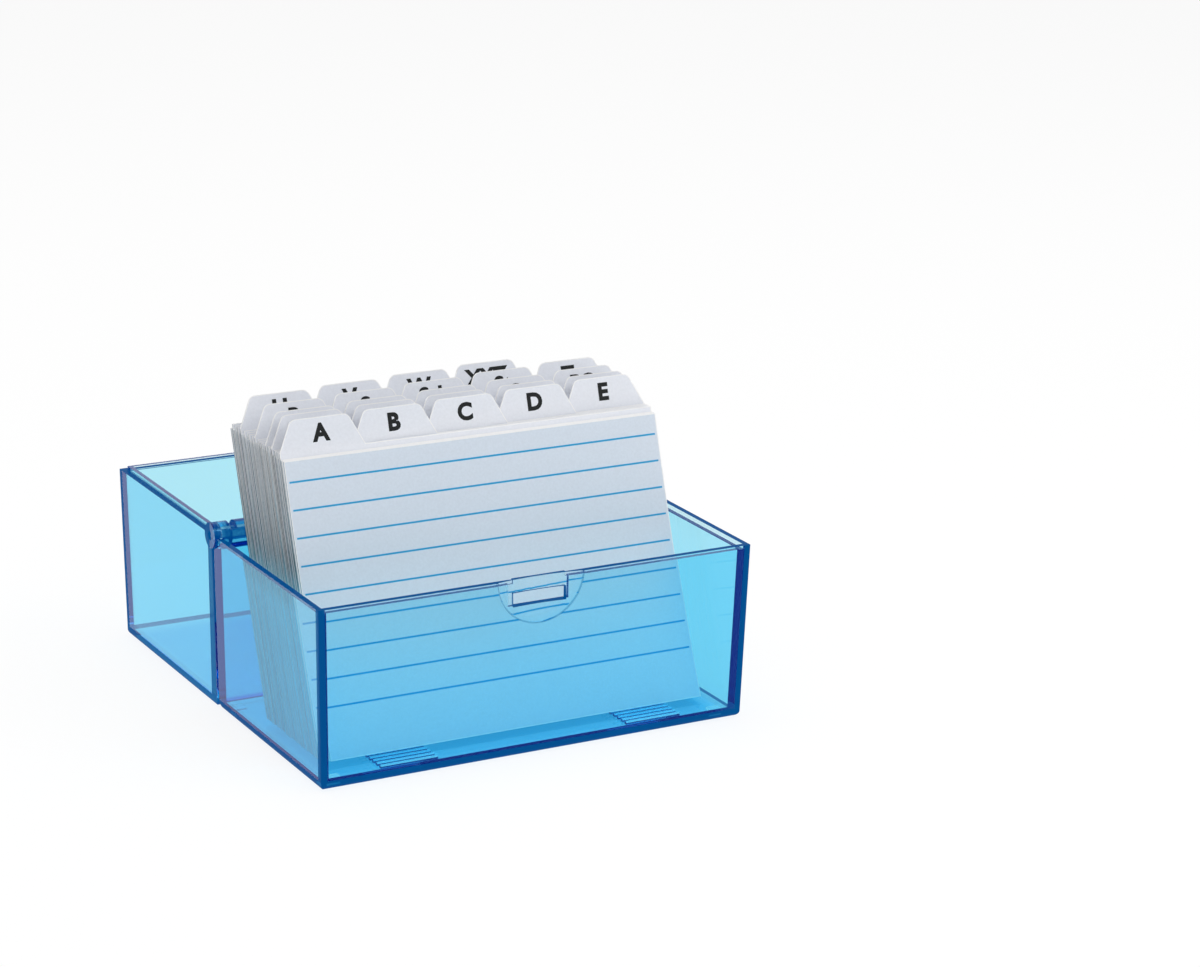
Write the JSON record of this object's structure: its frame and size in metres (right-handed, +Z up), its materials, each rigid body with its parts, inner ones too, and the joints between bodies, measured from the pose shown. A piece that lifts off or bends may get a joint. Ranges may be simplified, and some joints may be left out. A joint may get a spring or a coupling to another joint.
{
  "type": "index card file box",
  "caption": "Clear two-part card box with a hinged lid laid open, a latch tongue, ruled index cards and tabbed alphabetical dividers standing in the base.",
  "frame": {"origin": "on the table, straight under the middle of the hinge axis, which is the middle of the open box's footprint", "axes": "+X to the right along the hinge, +Y to the rear where the open lid lies, +Z up"},
  "size_m": [0.1216, 0.13, 0.0821],
  "materials": {
    "tray_plastic": "clear tinted, high gloss",
    "pin_plastic": "tinted, high gloss",
    "divider_card": "matt stiff card",
    "card_paper": "matt card with ruled lines"
  },
  "bodies": {
    "base": {"base_tray": "tray_plastic"},
    "lid": {"lid_tray": "tray_plastic", "hinge_pin_left": "pin_plastic", "hinge_pin_right": "pin_plastic"},
    "latch": {"latch_tongue": "tray_plastic"},
    "leaf_a": {"divider_a": "divider_card", "cards_behind_a": "card_paper"},
    "leaf_b": {"divider_b": "divider_card", "cards_behind_b": "card_paper"},
    "leaf_c": {"divider_c": "divider_card", "cards_behind_c": "card_paper"},
    "leaf_d": {"divider_d": "divider_card", "cards_behind_d": "card_paper"},
    "leaf_e": {"divider_e": "divider_card", "cards_behind_e": "card_paper"},
    "leaf_f": {"divider_f": "divider_card", "cards_behind_f": "card_paper"},
    "leaf_g": {"divider_g": "divider_card", "cards_behind_g": "card_paper"},
    "leaf_h": {"divider_h": "divider_card", "cards_behind_h": "card_paper"},
    "leaf_ij": {"divider_ij": "divider_card", "cards_behind_ij": "card_paper"},
    "leaf_k": {"divider_k": "divider_card", "cards_behind_k": "card_paper"},
    "leaf_l": {"divider_l": "divider_card", "cards_behind_l": "card_paper"},
    "leaf_m": {"divider_m": "divider_card", "cards_behind_m": "card_paper"},
    "leaf_n": {"divider_n": "divider_card", "cards_behind_n": "card_paper"},
    "leaf_o": {"divider_o": "divider_card", "cards_behind_o": "card_paper"},
    "leaf_pq": {"divider_pq": "divider_card", "cards_behind_pq": "card_paper"},
    "leaf_r": {"divider_r": "divider_card", "cards_behind_r": "card_paper"},
    "leaf_s": {"divider_s": "divider_card", "cards_behind_s": "card_paper"},
    "leaf_sch": {"divider_sch": "divider_card", "cards_behind_sch": "card_paper"},
    "leaf_st": {"divider_st": "divider_card", "cards_behind_st": "card_paper"},
    "leaf_t": {"divider_t": "divider_card", "cards_behind_t": "card_paper"},
    "leaf_u": {"divider_u": "divider_card", "cards_behind_u": "card_paper"},
    "leaf_v": {"divider_v": "divider_card", "cards_behind_v": "card_paper"},
    "leaf_w": {"divider_w": "divider_card", "cards_behind_w": "card_paper"},
    "leaf_xyz": {"divider_xyz": "divider_card", "cards_behind_xyz": "card_paper"},
    "front_cards": {"cards_in_front": "card_paper"}
  },
  "joints": [
    {"name": "lid_hinge", "type": "hinge", "parent": "base", "child": "lid", "pos_m": [0, 0, 0.0472], "axis": [1, 0, 0], "range_deg": [0, 180]},
    {"name": "latch_flex", "type": "hinge", "parent": "lid", "child": "latch", "pos_m": [0, 0.06175, 0.00245], "axis": [1, 0, 0], "range_deg": [0, 3], "stiffness_Nm_per_rad": 1},
    {"name": "leaf_a_lean", "type": "hinge", "parent": "base", "child": "leaf_a", "pos_m": [0, -0.0539, 0.00385], "axis": [1, 0, 0], "range_deg": [0, 12.5]},
    {"name": "leaf_b_lean", "type": "hinge", "parent": "base", "child": "leaf_b", "pos_m": [0, -0.05129, 0.00385], "axis": [1, 0, 0], "range_deg": [0, 12.5]},
    {"name": "leaf_c_lean", "type": "hinge", "parent": "base", "child": "leaf_c", "pos_m": [0, -0.05033, 0.00385], "axis": [1, 0, 0], "range_deg": [0, 12.5]},
    {"name": "leaf_d_lean", "type": "hinge", "parent": "base", "child": "leaf_d", "pos_m": [0, -0.04937, 0.00385], "axis": [1, 0, 0], "range_deg": [0, 12.5]},
    {"name": "leaf_e_lean", "type": "hinge", "parent": "base", "child": "leaf_e", "pos_m": [0, -0.04841, 0.00385], "axis": [1, 0, 0], "range_deg": [0, 12.5]},
    {"name": "leaf_f_lean", "type": "hinge", "parent": "base", "child": "leaf_f", "pos_m": [0, -0.04745, 0.00385], "axis": [1, 0, 0], "range_deg": [0, 12.5]},
    {"name": "leaf_g_lean", "type": "hinge", "parent": "base", "child": "leaf_g", "pos_m": [0, -0.04675, 0.00385], "axis": [1, 0, 0], "range_deg": [0, 12.5]},
    {"name": "leaf_h_lean", "type": "hinge", "parent": "base", "child": "leaf_h", "pos_m": [0, -0.04606, 0.00385], "axis": [1, 0, 0], "range_deg": [0, 12.5]},
    {"name": "leaf_ij_lean", "type": "hinge", "parent": "base", "child": "leaf_ij", "pos_m": [0, -0.04536, 0.00385], "axis": [1, 0, 0], "range_deg": [0, 12.5]},
    {"name": "leaf_k_lean", "type": "hinge", "parent": "base", "child": "leaf_k", "pos_m": [0, -0.04467, 0.00385], "axis": [1, 0, 0], "range_deg": [0, 12.5]},
    {"name": "leaf_l_lean", "type": "hinge", "parent": "base", "child": "leaf_l", "pos_m": [0, -0.04398, 0.00385], "axis": [1, 0, 0], "range_deg": [0, 12.5]},
    {"name": "leaf_m_lean", "type": "hinge", "parent": "base", "child": "leaf_m", "pos_m": [0, -0.04248, 0.00385], "axis": [1, 0, 0], "range_deg": [0, 12.5]},
    {"name": "leaf_n_lean", "type": "hinge", "parent": "base", "child": "leaf_n", "pos_m": [0, -0.04099, 0.00385], "axis": [1, 0, 0], "range_deg": [0, 12.5]},
    {"name": "leaf_o_lean", "type": "hinge", "parent": "base", "child": "leaf_o", "pos_m": [0, -0.0395, 0.00385], "axis": [1, 0, 0], "range_deg": [0, 12.5]},
    {"name": "leaf_pq_lean", "type": "hinge", "parent": "base", "child": "leaf_pq", "pos_m": [0, -0.038, 0.00385], "axis": [1, 0, 0], "range_deg": [0, 12.5]},
    {"name": "leaf_r_lean", "type": "hinge", "parent": "base", "child": "leaf_r", "pos_m": [0, -0.03651, 0.00385], "axis": [1, 0, 0], "range_deg": [0, 12.5]},
    {"name": "leaf_s_lean", "type": "hinge", "parent": "base", "child": "leaf_s", "pos_m": [0, -0.03475, 0.00385], "axis": [1, 0, 0], "range_deg": [0, 12.5]},
    {"name": "leaf_sch_lean", "type": "hinge", "parent": "base", "child": "leaf_sch", "pos_m": [0, -0.03299, 0.00385], "axis": [1, 0, 0], "range_deg": [0, 12.5]},
    {"name": "leaf_st_lean", "type": "hinge", "parent": "base", "child": "leaf_st", "pos_m": [0, -0.03123, 0.00385], "axis": [1, 0, 0], "range_deg": [0, 12.5]},
    {"name": "leaf_t_lean", "type": "hinge", "parent": "base", "child": "leaf_t", "pos_m": [0, -0.02947, 0.00385], "axis": [1, 0, 0], "range_deg": [0, 12.5]},
    {"name": "leaf_u_lean", "type": "hinge", "parent": "base", "child": "leaf_u", "pos_m": [0, -0.02771, 0.00385], "axis": [1, 0, 0], "range_deg": [0, 12.5]},
    {"name": "leaf_v_lean", "type": "hinge", "parent": "base", "child": "leaf_v", "pos_m": [0, -0.02595, 0.00385], "axis": [1, 0, 0], "range_deg": [0, 12.5]},
    {"name": "leaf_w_lean", "type": "hinge", "parent": "base", "child": "leaf_w", "pos_m": [0, -0.02419, 0.00385], "axis": [1, 0, 0], "range_deg": [0, 12.5]},
    {"name": "leaf_xyz_lean", "type": "hinge", "parent": "base", "child": "leaf_xyz", "pos_m": [0, -0.02243, 0.00385], "axis": [1, 0, 0], "range_deg": [0, 12.5]},
    {"name": "front_cards_leaf", "type": "hinge", "parent": "leaf_a", "child": "front_cards", "pos_m": [0, -0.0539, 0.00385], "axis": [1, 0, 0], "range_deg": [0, 12]}
  ],
  "couplings": [
    {"joint": "leaf_a_lean", "follows": "lid_hinge", "ratio": 0.068889},
    {"joint": "leaf_b_lean", "follows": "lid_hinge", "ratio": 0.068889},
    {"joint": "leaf_c_lean", "follows": "lid_hinge", "ratio": 0.068889},
    {"joint": "leaf_d_lean", "follows": "lid_hinge", "ratio": 0.068889},
    {"joint": "leaf_e_lean", "follows": "lid_hinge", "ratio": 0.068889},
    {"joint": "leaf_f_lean", "follows": "lid_hinge", "ratio": 0.068889},
    {"joint": "leaf_g_lean", "follows": "lid_hinge", "ratio": 0.068889},
    {"joint": "leaf_h_lean", "follows": "lid_hinge", "ratio": 0.068889},
    {"joint": "leaf_ij_lean", "follows": "lid_hinge", "ratio": 0.068889},
    {"joint": "leaf_k_lean", "follows": "lid_hinge", "ratio": 0.068889},
    {"joint": "leaf_l_lean", "follows": "lid_hinge", "ratio": 0.068889},
    {"joint": "leaf_m_lean", "follows": "lid_hinge", "ratio": 0.068889},
    {"joint": "leaf_n_lean", "follows": "lid_hinge", "ratio": 0.068889},
    {"joint": "leaf_o_lean", "follows": "lid_hinge", "ratio": 0.068889},
    {"joint": "leaf_pq_lean", "follows": "lid_hinge", "ratio": 0.068889},
    {"joint": "leaf_r_lean", "follows": "lid_hinge", "ratio": 0.068889},
    {"joint": "leaf_s_lean", "follows": "lid_hinge", "ratio": 0.068889},
    {"joint": "leaf_sch_lean", "follows": "lid_hinge", "ratio": 0.068889},
    {"joint": "leaf_st_lean", "follows": "lid_hinge", "ratio": 0.068889},
    {"joint": "leaf_t_lean", "follows": "lid_hinge", "ratio": 0.068889},
    {"joint": "leaf_u_lean", "follows": "lid_hinge", "ratio": 0.068889},
    {"joint": "leaf_v_lean", "follows": "lid_hinge", "ratio": 0.068889},
    {"joint": "leaf_w_lean", "follows": "lid_hinge", "ratio": 0.068889},
    {"joint": "leaf_xyz_lean", "follows": "lid_hinge", "ratio": 0.068889}
  ]
}
